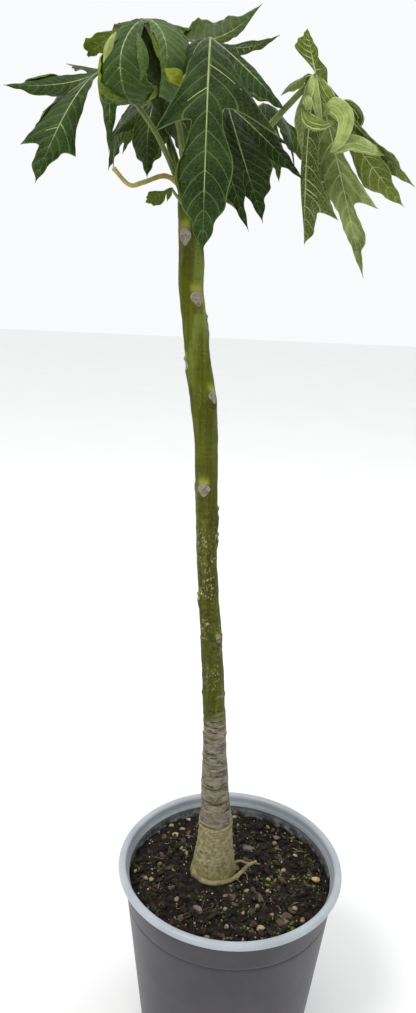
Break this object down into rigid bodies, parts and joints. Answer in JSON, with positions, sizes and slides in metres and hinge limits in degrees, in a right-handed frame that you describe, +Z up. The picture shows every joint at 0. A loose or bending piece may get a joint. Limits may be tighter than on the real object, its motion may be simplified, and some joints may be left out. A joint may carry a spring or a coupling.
{
  "type": "potted papaya tree",
  "caption": "Young papaya tree with a tall leaning bare stem and a small crown of drooping lobed leaves, growing in a round grey nursery pot.",
  "frame": {"origin": "centre of the flat underside of the pot", "axes": "+Z up along the plant, +X to the right and -Y to the front as the plant is seen with its large drooping leaf facing the viewer"},
  "size_m": [0.3966, 0.3795, 1.2002],
  "materials": {
    "pot": "smooth satin dark grey with a slightly glossy pale grey rolled rim",
    "soil": "loose dark potting mix of bark chips, peat and perlite",
    "trunk": "olive green stem with pale leaf scars, grey-brown bark lower down and a khaki base",
    "leaf_stalk": "smooth yellow-green leaf stalk",
    "bare_stalk": "smooth dull yellow stalk that has dropped its blade",
    "leaf": "dark green leaf with a soft bluish sheen and pale yellow-green veins",
    "pale_leaf": "pale yellow-green underside of a leaf with raised veins"
  },
  "bodies": {
    "root": {"pot": "pot", "soil": "soil", "trunk": "trunk", "front_leaf_stalk": "leaf_stalk", "top_left_leaf_stalk": "leaf_stalk", "far_left_leaf_stalk": "leaf_stalk", "inner_right_leaf_stalk": "leaf_stalk", "inner_left_leaf_stalk": "leaf_stalk", "right_leaf_stalk": "leaf_stalk", "small_leaf_stalk": "leaf_stalk", "back_left_leaf_stalk": "leaf_stalk", "back_leaf_stalk": "leaf_stalk", "back_right_leaf_stalk": "leaf_stalk", "young_leaf_stalk": "leaf_stalk", "bare_stalk": "bare_stalk", "front_leaf": "leaf", "top_left_leaf": "leaf", "far_left_leaf": "leaf", "inner_right_leaf": "leaf", "inner_left_leaf": "leaf", "right_leaf": "pale_leaf", "small_leaf": "leaf", "back_left_leaf": "leaf", "back_leaf": "leaf", "back_right_leaf": "leaf", "young_leaf": "leaf"}
  },
  "joints": []
}
